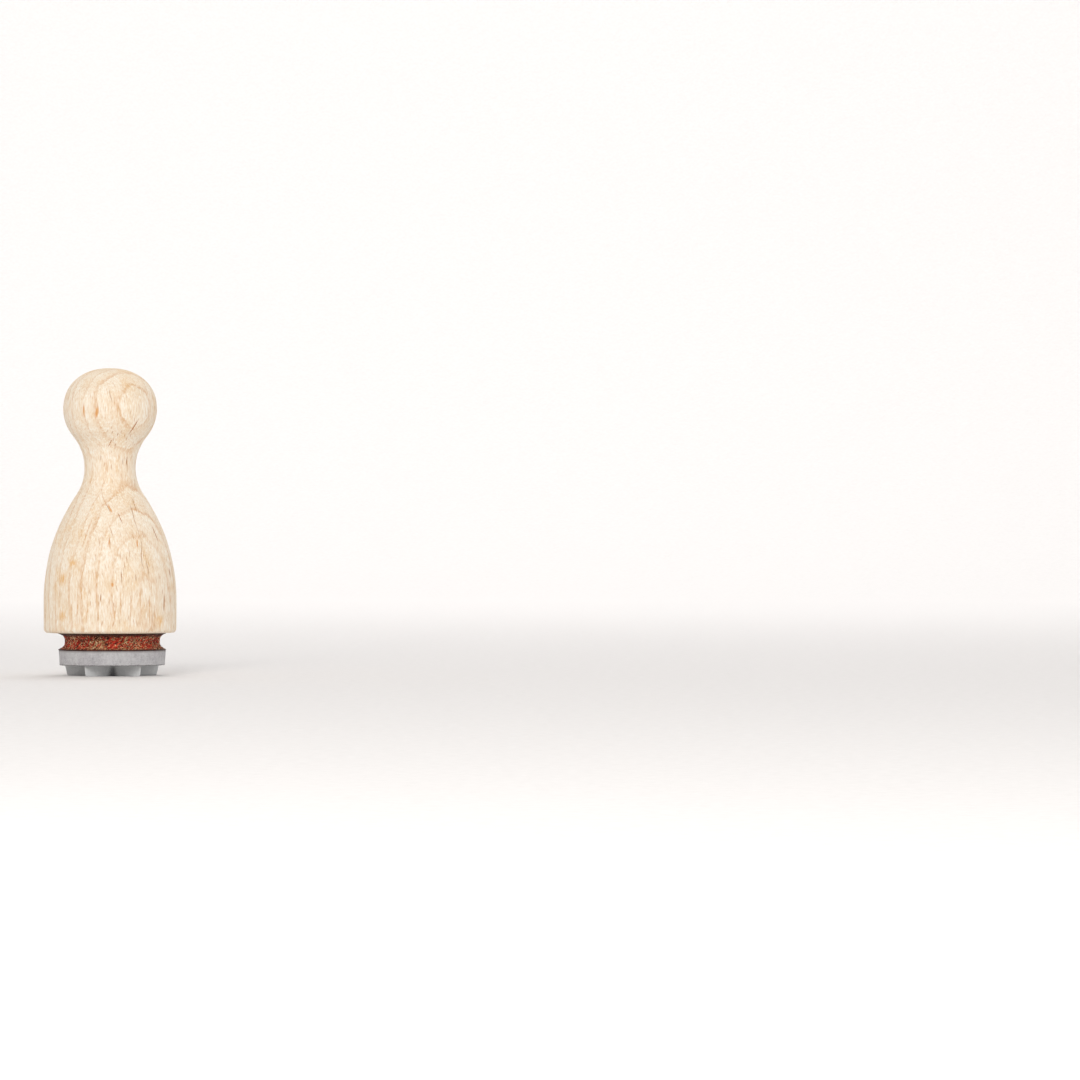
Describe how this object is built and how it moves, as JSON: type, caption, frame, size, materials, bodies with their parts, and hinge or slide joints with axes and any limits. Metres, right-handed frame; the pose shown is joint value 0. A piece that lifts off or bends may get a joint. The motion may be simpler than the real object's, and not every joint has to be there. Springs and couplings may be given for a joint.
{
  "type": "rubber stamp",
  "caption": "Small round rubber stamp: a turned wooden pawn handle, a waisted foam cushion and a grey rubber die that carries a raised outline star.",
  "frame": {"origin": "on the handle's axis, in the plane of the printing face", "axes": "+Z along the handle's axis from the printing face up to the knob; -Y towards the side seen in the picture, +X to its right"},
  "size_m": [0.0162, 0.0162, 0.0377],
  "materials": {
    "beech": "satin",
    "red_brown_foam": "matte",
    "scorched_adhesive": "matte",
    "grey_rubber": "matte"
  },
  "bodies": {
    "handle": {"turned_handle": "beech", "handle_adhesive_film": "scorched_adhesive", "foam_cushion": "red_brown_foam"},
    "die": {"die_adhesive_film": "scorched_adhesive", "rubber_die": "grey_rubber"}
  },
  "joints": [
    {"name": "cushion_press", "type": "slide", "parent": "handle", "child": "die", "axis": [0, 0, 1], "range_m": [0, 0.0006], "stiffness_N_per_m": 9000, "deforming": ["foam_cushion"]}
  ]
}
